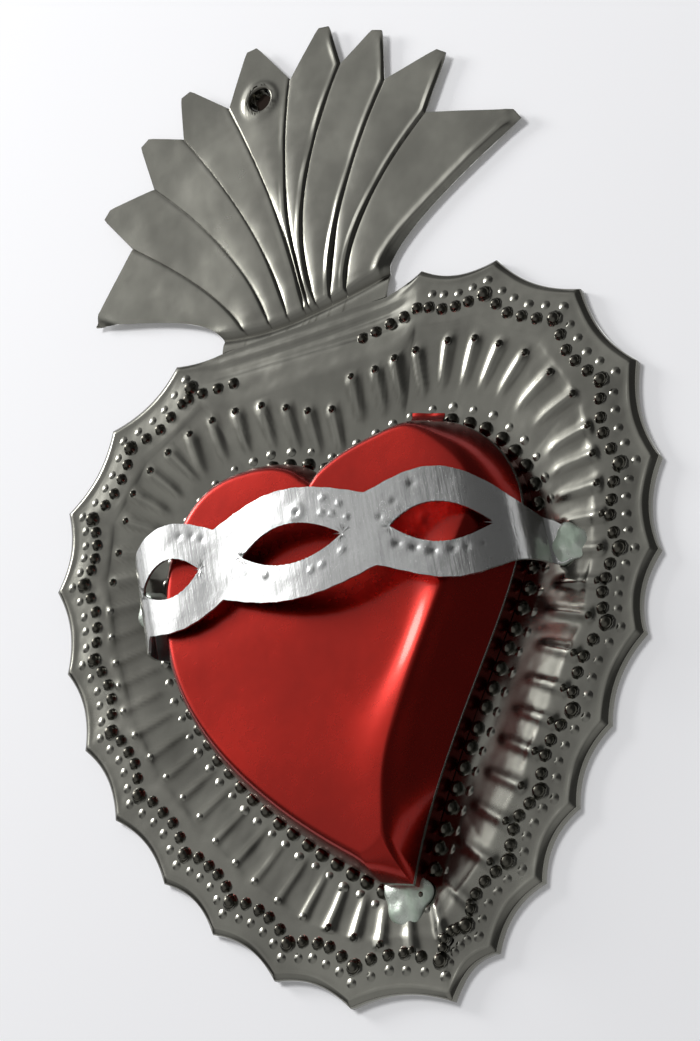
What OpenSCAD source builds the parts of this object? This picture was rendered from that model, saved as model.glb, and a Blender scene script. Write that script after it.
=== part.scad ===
// Pressed tin wall ornament: a red heart in a scalloped surround under a fan of flames, crossed by a bright
// strip with three eye-shaped openings. Front towards -Y, up towards +Z, and the origin is the hanging hole's
// middle at the back of the sheet.

/* [Sheet] */
// Thickness of the tin sheet
sheet_t = 0.4; // [0.3:0.05:0.8]
// How far the rim is turned back behind the sheet
rim_depth = 1.2; // [1:0.1:4]
// Thickness of the turned-back rim
rim_t = 0.6; // [0.4:0.1:1.2]

/* [Hanging hole] */
// Diameter of the hanging hole
hole_d = 5; // [3:0.5:7]
// Width of the raised collar round the hanging hole
collar_w = 1.1; // [0.6:0.1:2]
// Height of the collar in front of the sheet
collar_h = 0.8; // [0.4:0.1:2]
// Distance from the hanging hole down to the neck
hole_to_neck = 52; // [40:1:60]

/* [Flame crown] */
// Reach of the middle flame from the neck
flame_reach = 64.5; // [60:0.5:75]
// Reach of the left end flame from the neck
left_flame_reach = 50; // [44:1:60]
// Reach of the right end flame from the neck
right_flame_reach = 58.5; // [50:0.5:66]
// Width of the clipped end of each flame
flame_clip = 2.6; // [1:0.1:4]
// Width of the neck
neck_w = 36; // [28:1:44]
// Height of the crease between two flames
crease_h = 0.7; // [0.3:0.1:1.5]
// Width of the crease between two flames
crease_w = 1; // [0.6:0.1:2]

/* [Surround] */
// Width of the scalloped surround
surround_w = 130; // [120:1:150]
// Height of the scalloped surround, from the neck to its foot
surround_h = 140; // [132:1:160]
// Depth of each scallop
scallop_depth = 1.9; // [0.5:0.1:4]
// Diameter of the large beads
bead_d = 2.4; // [1.6:0.1:3]
// Diameter of the small beads
dot_d = 1.3; // [0.8:0.1:2]
// Distance of the outer row of large beads from the edge
bead_inset = 7.2; // [6.6:0.2:9]
// Distance of the row of small beads from the edge
dot_inset = 4.4; // [3:0.2:4.6]
// Large beads in each scallop, each with a small one outside it
beads_per_scallop = 5; // [3:1:5]
// Distance of the flutes from the edge
flute_inset = 11; // [10:0.5:14]
// Distance of the flutes from the neck
neck_flute_inset = 17.5; // [12:0.5:20]
// Length of the longest flute
flute_len = 9; // [6:0.5:12]
// Width of a flute
flute_w = 2.4; // [1.6:0.1:3]
// Height of a flute in front of the sheet
flute_h = 0.6; // [0.3:0.1:1]
// Flutes in each scallop
flutes_per_scallop = 3; // [2:1:4]
// Flutes across the neck
neck_flutes = 10; // [6:1:12]

/* [Heart] */
// Width of the heart
heart_w = 77.5; // [66:0.5:82]
// Height of the heart
heart_h = 89.5; // [78:0.5:96]
// Distance from the hanging hole down to the middle of the heart
heart_drop = 126; // [122:1:130]
// Thickness of the heart's shell
heart_t = 0.5; // [0.4:0.05:1]
// Height of the heart's upright edge above the sheet
heart_edge_h = 2.6; // [1:0.2:4]
// Height of the heart's crest above the sheet
heart_rise = 12.5; // [8:0.5:14]
// Gap between the heart and the large beads round it
heart_bead_gap = 0.3; // [0.2:0.1:2]
// Distance between two large beads round the heart
heart_bead_pitch = 3.5; // [3:0.5:8]

/* [Band] */
// Thickness of the band
band_t = 0.5; // [0.4:0.05:1]
// Height of the band's middle above the sheet
band_rise = 15.5; // [14.5:0.5:22]
// Distance from the hanging hole down to the band's middle
band_drop = 106; // [100:1:110]
// Fall of the band towards the right, in degrees
band_fall = 11; // [0:1:14]
// Width of the band across an opening
band_lobe_w = 22; // [18:0.5:26]
// Width of the band between two openings
band_neck_w = 14.5; // [10:0.5:17]
// Width of the band's foot
band_foot_w = 9; // [6:0.5:12]
// Length of the band's foot
band_foot_len = 5; // [3:0.5:7]
// Gap between each side of the heart and the band's end beside it
band_gap = 2.25; // [1:0.25:4]
// Room kept free of beads and flutes round the band's ends
band_room = 3; // [1:0.5:5]
// Height of the openings
eye_h = 8; // [5:0.5:10]
// Length of the middle opening
eye_len = 24.5; // [18:0.5:28]

/* [Solder] */
// Diameter of the solder pool at the heart's tip
pool_d = 9.5; // [6:0.5:12]
// Height of the solder above the sheet
pool_h = 1.1; // [0.6:0.1:2]

/* [Hidden] */
$fn = 48;
tin = [0.44, 0.44, 0.41];
lacquer_red = [0.6, 0.05, 0.08];
bright_strip = [0.82, 0.83, 0.84];
solder_grey = [0.62, 0.65, 0.6];

neck_z = -hole_to_neck;
face_y = -sheet_t;

// Scallop points of the surround, from the left of the neck down, round the foot and up to its right, for a
// surround 130 wide and 141 high with its top at 0
cusp_plan = [
    [-29, 1], [-46, -7], [-59, -21], [-64, -37], [-64, -55], [-62, -72], [-57, -88], [-48, -103.5],
    [-39, -116], [-27.5, -128], [-13, -137], [7, -141], [17, -135], [28, -125.5], [37, -114.5],
    [46, -102], [56, -88], [62, -74], [66, -57], [66, -37.5], [58.5, -19], [43.5, -6], [28, -1.5]
];
cusps = [for (p = cusp_plan) [p[0] * surround_w / 130, neck_z + p[1] * surround_h / 141]];
scallops = len(cusps);

// Angle from the upright of each flame to the right of the middle one, and how much shorter it is for a
// middle one of 64.5
flame_fan = [0, 15.5, 27.5, 43.5, 67.5];
flame_fall = [0, 0.5, 2.5, 4.5];
// Angle and drop of each notch between two flames, counted from the middle
notch_fan = [8, 20.5, 33, 48];
notch_fall = [10.5, 9.5, 13, 17];
// Where each crease meets the neck, as a share of half the neck's width
crease_foot = [0.12, 0.28, 0.48, 0.7];

// Point at a distance and an angle from the upright, from the middle of the neck
function fan(a, r) = [r * sin(a), neck_z + r * cos(a)];
function mix(a, b, t) = a + (b - a) * t;
function unit(v) = v / norm(v);
// Vector turned a quarter turn to the left
function left(v) = [-v[1], v[0]];
function quad(a, b, c, t) = mix(mix(a, b, t), mix(b, c, t), t);
function cubic(a, b, c, d, t) = mix(quad(a, b, c, t), quad(b, c, d, t), t);
function curve(a, b, c, n) = [for (i = [0:n]) quad(a, b, c, i / n)];
function backwards(list) = [for (i = [len(list) - 1:-1:0]) list[i]];

// The two corners of a clipped flame end
function clipped(a, r) = [
    for (s = [-1, 1]) fan(a, r) + s * flame_clip / 2 * [cos(a), -sin(a)]
];
function reach(i, side) =
    i < 4 ? flame_reach * (1 - (flame_fall[i] + (i == 3 && side < 0 ? 1.5 : 0)) / 64.5)
    : side < 0 ? left_flame_reach : right_flame_reach;
function notch(i, side) = fan(side * notch_fan[i], flame_reach * (1 - notch_fall[i] / 64.5));
// Flames from the middle outwards on the right: clipped end, notch, clipped end and so on
right_flames = [
    for (i = [1:4]) each concat([notch(i - 1, 1)], clipped(flame_fan[i], reach(i, 1)))
];
left_flames = [
    for (i = [4:-1:1]) each concat(clipped(-flame_fan[i], reach(i, -1)), [notch(i - 1, -1)])
];
neck_left = [-neck_w / 2, neck_z - 0.5];
neck_right = [neck_w / 2 + 1.5, neck_z - 3.7];
right_tip = clipped(flame_fan[4], right_flame_reach)[1];
left_tip = clipped(-flame_fan[4], left_flame_reach)[0];
right_curl = curve(right_tip, [neck_w / 2 + 1.5, neck_z + 9], neck_right, 10);
left_curl = curve(neck_left, [-neck_w / 2 - 1, neck_z + 9], left_tip, 10);

// Inward direction at a scallop point: the mean of its two sides' normals
function inward(i) =
    let(a = cusps[max(i - 1, 0)], b = cusps[min(i + 1, scallops - 1)]) unit(left(b - a));
// Point beside scallop i at share t of its length and at a distance in from the edge
function beside(i, t, inset) =
    mix(cusps[i], cusps[i + 1], t)
    + mix(inward(i), inward(i + 1), t) * (inset + 4 * scallop_depth * t * (1 - t));
// The same across the neck, where the edge is left out and the line is straight
function beside_neck(t, inset) =
    mix(cusps[scallops - 1] + [0, -inset], cusps[0] + [0, -inset - 1], t);
scallop_steps = 8;
surround_edge = concat(
    curve(neck_left, mix(neck_left, cusps[0], 0.5) - [0, 1], cusps[0], 4),
    [for (i = [0:scallops - 2], j = [1:scallop_steps]) beside(i, j / scallop_steps, 0)],
    [for (j = [1:4])
        quad(cusps[scallops - 1], mix(cusps[scallops - 1], neck_right, 0.5) - [0, 0.7], neck_right, j / 4)]
);
outline = concat(
    surround_edge,
    [for (i = [len(right_curl) - 2:-1:1]) right_curl[i]],
    backwards(right_flames),
    backwards(clipped(0, flame_reach)),
    backwards(left_flames),
    [for (i = [len(left_curl) - 2:-1:1]) left_curl[i]]
);

// Heart outline from the cleft clockwise, as cubic curves round its middle, for a heart 77.5 wide and 89.5 high
heart_plan = [
    [[0, 37], [5, 39.8], [11, 40.5], [19, 40.5]],
    [[19, 40.5], [30, 40.5], [39, 30], [39, 19]],
    [[39, 19], [38.5, 2], [15, -17], [4, -45]],
    [[4, -45], [2, -44.3], [0, -43.7], [-2, -43]],
    [[-2, -43], [-25, -24], [-38.5, -4], [-38.5, 14]],
    [[-38.5, 14], [-38.5, 30], [-31, 44.5], [-18, 44.5]],
    [[-18, 44.5], [-9, 44.5], [-3, 42], [0, 37]]
];
heart_steps = [7, 8, 14, 2, 14, 8, 7];
heart_middle = [1, -heart_drop];
heart_line = [
    for (i = [0:6], j = [0:heart_steps[i] - 1])
        let(c = heart_plan[i], p = cubic(c[0], c[1], c[2], c[3], j / heart_steps[i]))
        [p[0] * heart_w / 77.5, p[1] * heart_h / 89.5]
];
heart_n = len(heart_line);
function heart_point(i, out) =
    let(a = heart_line[(i + heart_n - 1) % heart_n], b = heart_line[(i + 1) % heart_n])
    heart_middle + heart_line[i % heart_n] + out * unit(left(b - a));
heart_bead_line = [for (i = [0:heart_n]) heart_point(i, heart_bead_gap + bead_d / 2)];

// Distance walked along a line up to each of its points
function walked(line, i = 0, sum = 0) =
    i >= len(line) ? []
    : let(s = i == 0 ? 0 : sum + norm(line[i] - line[i - 1])) concat([s], walked(line, i + 1, s));
heart_bead_walk = walked(heart_bead_line);
function along(line, walk, s) =
    let(k = max([for (i = [0:len(walk) - 2]) walk[i] <= s ? i : 0]))
    mix(line[k], line[k + 1], (s - walk[k]) / (walk[k + 1] - walk[k]));
heart_bead_total = heart_bead_walk[heart_n];
heart_beads = floor(heart_bead_total / heart_bead_pitch);

// Shortest way from a point along a direction to the line of beads round the heart
function way_to_heart(p, d) = min(concat([1000], [
    for (i = [0:heart_n - 1])
        let(a = heart_bead_line[i] - p, b = heart_bead_line[i + 1] - p, sa = cross(d, a), sb = cross(d, b))
        if (sa * sb <= 0 && sa != sb)
            let(t = (a + (b - a) * sa / (sa - sb)) * d) if (t > 0) t
]));
// A flute runs square to the edge, and turns upwards a little below the heart's middle
function flute_way(p, n) =
    unit(n + [0, 0.5 * max(0, (heart_middle[1] - p[1]) / surround_h)]);

// Stands a flat drawing up: its Y becomes up and its height runs forward from a depth
module forward(from, height) {
    translate([0, -from, 0]) rotate([90, 0, 0]) linear_extrude(height) children();
}

module on_sheet(p) {
    translate([p[0], 0, p[1]]) children();
}

// Raised line of even height, as wide as w in its middle and tapering to its ends
module ridge(line, w, h) {
    n = len(line) - 1;
    function side(i) = left(unit(line[min(i + 1, n)] - line[max(i - 1, 0)]));
    function half(i) = w / 2 * (0.3 + 0.7 * sin(180 * i / n));
    forward(0, sheet_t + h) polygon(concat(
        [for (i = [0:n]) line[i] + side(i) * half(i)],
        [for (i = [n:-1:0]) line[i] - side(i) * half(i)]
    ));
}

// Beads pressed out of the sheet, as their middles
main_beads = [
    for (i = [0:scallops - 2], j = [0:beads_per_scallop - 1]) beside(i, j / beads_per_scallop, bead_inset)
];
small_beads = [
    for (i = [0:scallops - 2], j = [0:beads_per_scallop - 1]) beside(i, j / beads_per_scallop, dot_inset)
];
// The outer row runs on across the neck from both sides
neck_beads = [
    for (end = [[-27, -7.6, -16.5, -8.2], [26, -9.4, 13, -10.4]], j = [0:3])
        [mix(end[0], end[2], j / 3), neck_z + mix(end[1], end[3], j / 3)]
];
inner_beads = [
    for (i = [0:heart_beads - 1]) along(heart_bead_line, heart_bead_walk, i * heart_bead_total / heart_beads)
];
// Ends of the band, beside the heart, and the end of its foot
band_left = heart_middle[0] - heart_w / 2 - band_gap;
band_right = heart_middle[0] + heart_w / 2 + band_gap;
foot_end = band_right + band_foot_len;
// Distance across of a point on the band, from its place on a band between -40 and 42
function across(x) = band_left + (x + 40) * (band_right - band_left) / 82;
// How far the band's ends hang below the straight line through its middle
band_sag = 2.6;
function band_middle_z(x) = -band_drop - x * tan(band_fall) - band_sag * pow(x / band_right, 4);
// Room kept free under the band's ends, as left, right, low and high
band_seats = [
    [band_left - 2 * band_room, band_left + band_room, band_middle_z(band_left) - band_neck_w / 2 - band_room,
        band_middle_z(band_left) + band_neck_w / 2 + band_room],
    [band_right - band_room, foot_end + band_room, band_middle_z(foot_end) - band_foot_w / 2 - band_room,
        band_middle_z(band_right) + band_foot_w / 2 + band_room]
];
function is_free(p) = min([
    for (b = band_seats) p[0] > b[0] && p[0] < b[1] && p[1] > b[2] && p[1] < b[3] ? 0 : 1
]) == 1;
// Start of each flute and the way square to the edge there, further in on the three scallops beside the neck
flute_starts = concat(
    [for (i = [0:scallops - 2], j = [1:flutes_per_scallop])
        let(
            t = (j - 0.5) / flutes_per_scallop,
            from_neck = min(i + t, scallops - 1 - i - t),
            inset = mix(neck_flute_inset, flute_inset, min(from_neck / 3, 1))
        ) [beside(i, t, inset), mix(inward(i), inward(i + 1), t)]],
    [for (j = [1:neck_flutes]) [beside_neck((j - 0.5) / neck_flutes, neck_flute_inset), [0, -1]]]
);
// Each flute's outer end, direction and length
flutes = [
    for (s = flute_starts)
        let(d = flute_way(s[0], s[1]), run = min(flute_len, way_to_heart(s[0], d) - bead_d / 2 - 0.5))
        if (run > 3 && min([for (k = [0:2]) is_free(s[0] + d * run * k / 2) ? 1 : 0]) == 1) [s[0], d, run]
];

module bead(p, d) {
    on_sheet(p) translate([0, -sheet_t / 2, 0]) rotate([90, 0, 0])
        cylinder(d1 = d, d2 = d * 0.45, h = sheet_t / 2 + d * 0.42, $fn = 16);
}

module beads() {
    for (p = concat(main_beads, neck_beads, inner_beads)) if (is_free(p)) bead(p, bead_d);
    for (p = small_beads) if (is_free(p)) bead(p, dot_d);
}

// Long blisters, blunt at the outer end and narrow at the inner one
module flutes() {
    shares = [[0, 0.3], [0.2, 0.5], [1, 0.16]];
    for (f = flutes) {
        edge = [for (s = shares) f[0] + f[1] * f[2] * s[0] + left(f[1]) * flute_w * s[1]];
        back = [for (s = backwards(shares)) f[0] + f[1] * f[2] * s[0] - left(f[1]) * flute_w * s[1]];
        forward(sheet_t / 2, sheet_t / 2 + flute_h) polygon(concat(edge, back));
    }
}

module creases() {
    for (side = [-1, 1], i = [0:3]) {
        top = mix(notch(i, side), [0, neck_z], 0.03);
        foot = [side * crease_foot[i] * neck_w / 2, neck_z + 1.5];
        bend = [mix(top[0], foot[0], 0.75), mix(top[1], foot[1], 0.4)];
        ridge(curve(top, bend, foot, 8), crease_w, crease_h);
    }
    for (drop = [0.8, 5]) {
        fold = curve([2 - neck_w / 2, neck_z - drop], [0, neck_z - drop - 1], [neck_w / 2 - 2, neck_z - drop], 8);
        ridge(fold, crease_w, crease_h);
    }
}

module rim() {
    n = len(surround_edge) - 1;
    function side(i) = left(unit(surround_edge[min(i + 1, n)] - surround_edge[max(i - 1, 0)]));
    forward(-rim_depth, rim_depth) polygon(concat(
        surround_edge, [for (i = [n:-1:0]) surround_edge[i] + rim_t * side(i)]
    ));
}

module tin_plate() {
    color(tin) difference() {
        union() {
            forward(0, sheet_t) polygon(outline);
            beads();
            flutes();
            creases();
            rim();
            rotate([90, 0, 0]) cylinder(d = hole_d + 2 * collar_w, h = sheet_t + collar_h);
        }
        translate([0, 5, 0]) rotate([90, 0, 0]) cylinder(d = hole_d, h = 20);
    }
}

// Height of the heart above the sheet at share s of the way out to its edge, for an outer or inner face
dome_rings = 9;
function dome(s, rise) = heart_edge_h + (rise - heart_edge_h) * pow(1 - pow(s, 2.2), 0.75);
function heart_ring(s, out, y) = [
    for (i = [0:heart_n - 1]) let(p = heart_middle + s * (heart_point(i, out) - heart_middle)) [p[0], y, p[1]]
];

module red_heart() {
    shares = [for (k = [0:dome_rings - 1]) 1 - k / dome_rings];
    outer = [for (s = shares) heart_ring(s, 0, face_y - dome(s, heart_rise))];
    inner = [for (s = shares) heart_ring(s, -heart_t, face_y + heart_t - dome(s, heart_rise))];
    rings = concat(backwards(inner), [heart_ring(1, -heart_t, face_y), heart_ring(1, 0, face_y)], outer);
    m = len(rings);
    points = concat(
        [for (r = rings) each r],
        [[heart_middle[0], face_y + heart_t - heart_rise, heart_middle[1]],
         [heart_middle[0], face_y - heart_rise, heart_middle[1]]]
    );
    function at(r, i) = r * heart_n + i % heart_n;
    color(lacquer_red) polyhedron(points, concat(
        [for (r = [0:m - 2], i = [0:heart_n - 1]) each [
            [at(r, i), at(r, i + 1), at(r + 1, i + 1)], [at(r, i), at(r + 1, i + 1), at(r + 1, i)]
        ]],
        [for (i = [0:heart_n - 1]) each [
            [at(0, i + 1), at(0, i), m * heart_n], [at(m - 1, i), at(m - 1, i + 1), m * heart_n + 1]
        ]]
    ));
}

// Side of the band, seen from above: distance across and height above the sheet
function arch_point(x, share) = [across(x), band_rise * share];
band_path = concat(
    [[band_left + 2.5, band_t / 2], [band_left - 1.6, band_t / 2], [band_left - 2.4, band_t / 2 + 0.4]],
    [for (i = [0:8]) cubic([band_left - 2.6, band_t / 2 + 1.3], arch_point(-40, 0.66),
        arch_point(-32, 0.72), arch_point(-26, 0.8), i / 8)],
    [for (i = [1:8]) cubic(arch_point(-26, 0.8), arch_point(-12, 1), arch_point(12, 1.04),
        arch_point(28, 0.8), i / 8)],
    [for (i = [1:8]) cubic(arch_point(28, 0.8), arch_point(36, 0.7), arch_point(41, 0.5),
        [band_right, 1.2], i / 8)],
    [[band_right + 0.6, band_t / 2], [band_right + band_foot_len, band_t / 2]]
);

// Cut-out shape of the band, seen from the front
notch_x = [for (x = [-42.5, -19.5, 15, 42]) across(x)];
notch_w = [band_neck_w, band_neck_w, band_neck_w, band_foot_w];
function band_half(x) =
    x >= notch_x[3] ? band_foot_w / 2
    : x <= notch_x[0] ? band_neck_w / 2
    : let(
        i = x < notch_x[1] ? 0 : x < notch_x[2] ? 1 : 2,
        t = (x - notch_x[i]) / (notch_x[i + 1] - notch_x[i]),
        base = mix(notch_w[i], notch_w[i + 1], t)
    ) (base + (band_lobe_w - base) * sin(180 * t)) / 2;
band_xs = [for (x = concat([for (x = [-46:1.5:-19.5]) x], [-19.5], [for (x = [-18:1.5:14]) x], [15],
    [for (x = [16.5:1.5:42]) x], [42])) across(x)];
// Middle of each opening and its share of the middle one's length
eyes = [[across(-31.5), 0.62], [across(-2.2), 0.94], [across(28), 0.76]];
// Round end of the foot, as pairs of distance across and half width
foot_x = max(band_right, foot_end - band_foot_w / 2);
foot_round = [for (a = [15:15:75]) [foot_x + (foot_end - foot_x) * sin(a), band_foot_w / 2 * cos(a)]];
band_half_widths = concat([for (x = band_xs) [x, band_half(x)]], foot_round);

module eye(x, share) {
    half = eye_len * share / 2;
    polygon([for (side = [-1, 1], k = [-8:7]) let(u = k / 8 * -side)
        [x + half * u, band_middle_z(x + half * u) + side * eye_h / 2 * (1 - u * u)]]);
}

module thorn_band() {
    n = len(band_path) - 1;
    function side(i) = left(unit(band_path[min(i + 1, n)] - band_path[max(i - 1, 0)]));
    top = [for (b = band_half_widths) [b[0], band_middle_z(b[0]) + b[1]]];
    bottom = [for (b = backwards(band_half_widths)) [b[0], band_middle_z(b[0]) - b[1]]];
    color(bright_strip) intersection() {
        translate([0, face_y, -200]) linear_extrude(200) polygon(concat(
            [for (i = [0:n]) let(p = band_path[i] + side(i) * band_t / 2) [p[0], -p[1]]],
            [for (i = [n:-1:0]) let(p = band_path[i] - side(i) * band_t / 2) [p[0], -p[1]]]
        ));
        forward(-1, 40) difference() {
            polygon(concat(top, bottom));
            for (e = eyes) eye(e[0], e[1]);
        }
    }
}

// Low round pool of solder on the sheet, a quarter ellipse turned once round
module pool(p, d, h) {
    profile = [for (a = [0:15:90]) [d / 2 * cos(a), h * sin(a)]];
    on_sheet(p) translate([0, face_y, 0]) rotate([90, 0, 0])
        rotate_extrude() polygon(concat([[0, 0]], profile));
}

module tip_solder() {
    color(solder_grey) pool(heart_middle + [1, -46 * heart_h / 89.5], pool_d, pool_h);
}

module left_solder() {
    color(solder_grey) pool([band_left - 2, band_middle_z(band_left)], pool_d * 0.8, pool_h);
}

module right_solder() {
    color(solder_grey) pool([foot_end - 1, band_middle_z(foot_end)], pool_d * 0.8, pool_h);
}

tin_plate();
red_heart();
thorn_band();
tip_solder();
left_solder();
right_solder();
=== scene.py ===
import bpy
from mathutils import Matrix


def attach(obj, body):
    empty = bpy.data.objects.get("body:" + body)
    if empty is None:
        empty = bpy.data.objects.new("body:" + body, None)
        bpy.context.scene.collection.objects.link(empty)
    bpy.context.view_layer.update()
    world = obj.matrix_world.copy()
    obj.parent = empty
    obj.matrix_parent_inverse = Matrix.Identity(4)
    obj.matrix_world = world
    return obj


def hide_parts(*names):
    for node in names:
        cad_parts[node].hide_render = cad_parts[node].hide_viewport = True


bl_info = {
    "name": "Pressed tin heart",
    "version": (1, 0, 0),
    "blender": (4, 5, 0),
    "location": "View3D > Sidebar > Tin Heart",
    "description": "Builds a pressed tin wall ornament with a red heart on its packed frame",
    "category": "Add Mesh",
}

import bmesh
import bpy
import numpy as np
from bpy.props import FloatProperty, FloatVectorProperty, IntProperty, PointerProperty
from bpy.types import Operator, Panel, PropertyGroup
from mathutils import Matrix, Vector

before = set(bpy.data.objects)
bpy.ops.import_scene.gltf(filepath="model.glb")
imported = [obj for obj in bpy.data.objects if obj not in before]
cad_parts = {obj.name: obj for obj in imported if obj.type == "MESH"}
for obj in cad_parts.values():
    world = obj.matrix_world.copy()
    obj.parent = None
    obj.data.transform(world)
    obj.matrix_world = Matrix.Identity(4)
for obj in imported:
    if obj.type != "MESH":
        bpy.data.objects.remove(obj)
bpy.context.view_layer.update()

# Plans are in millimetres: across (+X) and up (+Z) from the hanging hole, and height in front of the sheet
MM = 0.001
FRONT = 0.4  # The sheet's level front, over its back
NECK_Z = -52.0
NECK_LEFT, NECK_RIGHT = np.array((-18.0, -52.5)), np.array((19.5, -55.7))
# Scallop points from the left of the neck down, round the foot and up to its right, below the neck
CUSP_PLAN = np.array([
    (-29, 1), (-46, -7), (-59, -21), (-64, -37), (-64, -55), (-62, -72), (-57, -88), (-48, -103.5),
    (-39, -116), (-27.5, -128), (-13, -137), (7, -141), (17, -135), (28, -125.5), (37, -114.5),
    (46, -102), (56, -88), (62, -74), (66, -57), (66, -37.5), (58.5, -19), (43.5, -6), (28, -1.5),
])
SURROUND_SHARE = 140 / 141
# Flames from the left end to the right end: angle from the upright, reach from the neck
FLAMES = [(-67.5, 50), (-43.5, 58.5), (-27.5, 62), (-15.5, 64), (0, 64.5), (15.5, 64), (27.5, 62),
          (43.5, 60), (67.5, 58.5)]
FLAME_CLIP = 2.6
FAR = 9.0
# Height of each flame's right-hand ridge at its foot; the last flame's is broad
KEEN = (0.03, 0.04, 0.05, 0.07, 0.14, 0.3, 0.32, 0.34)
# Creases between them: angle and distance of the notch from the neck, the point that bends the crease, and
# where its foot is on the groove across the neck
CREASES = [(-48, 47.5, (-14.7, -40.2), -11.9), (-33, 51.5, (-8.7, -33), -6.2), (-20.5, 55, (-3.4, -30), -2),
           (-8, 54, (1.5, -30), 1.8), (8, 54, (-1.5, -28), 3.3), (20.5, 55, (-0.5, -28), 4.9),
           (33, 51.5, (9.6, -33), 7.8), (48, 47.5, (13.4, -35.2), 11.3)]
HEART_MIDDLE = np.array((1.0, -126.0))
HEART_PLAN = [
    [(0, 37), (5, 39.8), (11, 40.5), (19, 40.5)],
    [(19, 40.5), (30, 40.5), (39, 30), (39, 19)],
    [(39, 19), (38.5, 2), (15, -17), (4, -45)],
    [(4, -45), (2, -44.3), (0, -43.7), (-2, -43)],
    [(-2, -43), (-25, -24), (-38.5, -4), (-38.5, 14)],
    [(-38.5, 14), (-38.5, 30), (-31, 44.5), (-18, 44.5)],
    [(-18, 44.5), (-9, 44.5), (-3, 42), (0, 37)],
]
# Outer ends of the flutes, anticlockwise from the left of the strip
FLUTE_STARTS = np.array([
    (-52, -119), (-52.3, -113.5), (-52.5, -108.5), (-52.5, -103), (-52, -97.3), (-50.5, -91.5), (-48.5, -86),
    (-45.7, -79.5), (-43, -74.5), (-38.5, -71), (-33.5, -68.6), (-28, -66.7), (-22.5, -65.6), (-16.7, -66),
    (-11, -67), (-5.7, -69.5), (-1.2, -72), (3.8, -73.5), (9.5, -69), (14.8, -69.5), (19.2, -69),
    (24, -69.2), (31, -70), (36.5, -72), (41.3, -75), (45.8, -79), (50, -85), (53.6, -91), (55, -98.5),
    (55, -104), (54.5, -110), (54, -116), (52.5, -122), (50.5, -128), (47.5, -133.5), (43.5, -139.5),
    (40, -145), (36.5, -150), (32.5, -154.5), (28.5, -159.5), (24.5, -165), (20, -171), (14.5, -177),
    (8, -181.5), (1.5, -182), (-4.5, -179.5), (-9.5, -176.5), (-14.5, -173.5), (-19.5, -170), (-24, -165.5),
    (-28.5, -160.5), (-32, -156), (-35.5, -150.5), (-38.5, -145), (-41.5, -140), (-44.5, -135), (-47.5, -130),
    (-50, -124.5),
])
# Gap between the end of a flute and the heart
FLUTE_CLEAR = 3.4
# Rows of beads at both sides of the neck: first and last bead, and how many
NECK_BEADS = [((-27, NECK_Z - 7.6), (-16.5, NECK_Z - 8.2), 4), ((26, NECK_Z - 9.4), (13, NECK_Z - 10.4), 5)]
TIN = (0.225, 0.22, 0.19)
LACQUER = (0.35, 0.011, 0.005)
BRIGHT = (0.52, 0.52, 0.505)
SOLDER = (0.5, 0.54, 0.48)


# Shapes

def lerp(a, b, t):
    return a + (b - a) * t


def smooth(t):
    """Rises from 0 to 1 over t from 0 to 1, level at both ends: 3 t squared less 2 t cubed."""
    t = np.clip(t, 0, 1)
    return t * t * (3 - 2 * t)


def bell(t):
    """Falls off on both sides of 0: e to the power of less t squared."""
    return np.exp(-t * t)


def bezier(points, t):
    """Point at share t of a curve: neighbours in the row of points are mixed by t until one is left."""
    row = [np.asarray(p, float) for p in points]
    t = np.asarray(t, float)[..., None]
    while len(row) > 1:
        row = [lerp(a, b, t) for a, b in zip(row, row[1:])]
    return row[0]


def knots(stops, values, t):
    """Straight mixes between the values at the stops, for values that are points."""
    values = np.asarray(values, float)
    return np.stack([np.interp(t, stops, values[:, k]) for k in range(values.shape[1])], -1)


def unit(v):
    return v / np.linalg.norm(v, axis=-1, keepdims=True)


def left(v):
    return np.stack([-v[..., 1], v[..., 0]], -1)


def circle(steps):
    """Angles of a full turn, and the directions at them."""
    angle = np.arange(steps) * 2 * np.pi / steps
    return angle, np.stack([np.cos(angle), np.sin(angle)], -1)


def ripple(x, z, size, seed):
    """Smooth unevenness between about -1 and 1: four sine waves that cross at odd angles, size apart."""
    turn = np.array([0.3, 1.25, 2.1, 2.75]) + 0.37 * seed
    waves = [np.sin((x * np.cos(a) + z * np.sin(a)) * 6.28 / size * (0.8 + 0.17 * k) + 1.7 * k + seed)
             for k, a in enumerate(turn)]
    return sum(waves) / 4


def stand(plan, height):
    """Points of a plan at a height in front of the wall side of the sheet, as X, Y, Z."""
    return np.stack([plan[..., 0], -height + 0 * plan[..., 0], plan[..., 1]], -1)


def grid_faces(rows, columns, wrap=False, first=0):
    """Quads between neighbouring rows and columns of a grid, whose last column meets the first if wrap."""
    r = np.arange(rows - 1)[:, None]
    c = np.arange(columns if wrap else columns - 1)[None, :]
    n = (c + 1) % columns
    quads = np.stack([r * columns + c, r * columns + n, (r + 1) * columns + n, (r + 1) * columns + c], -1)
    return quads.reshape(-1, 4) + first


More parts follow.
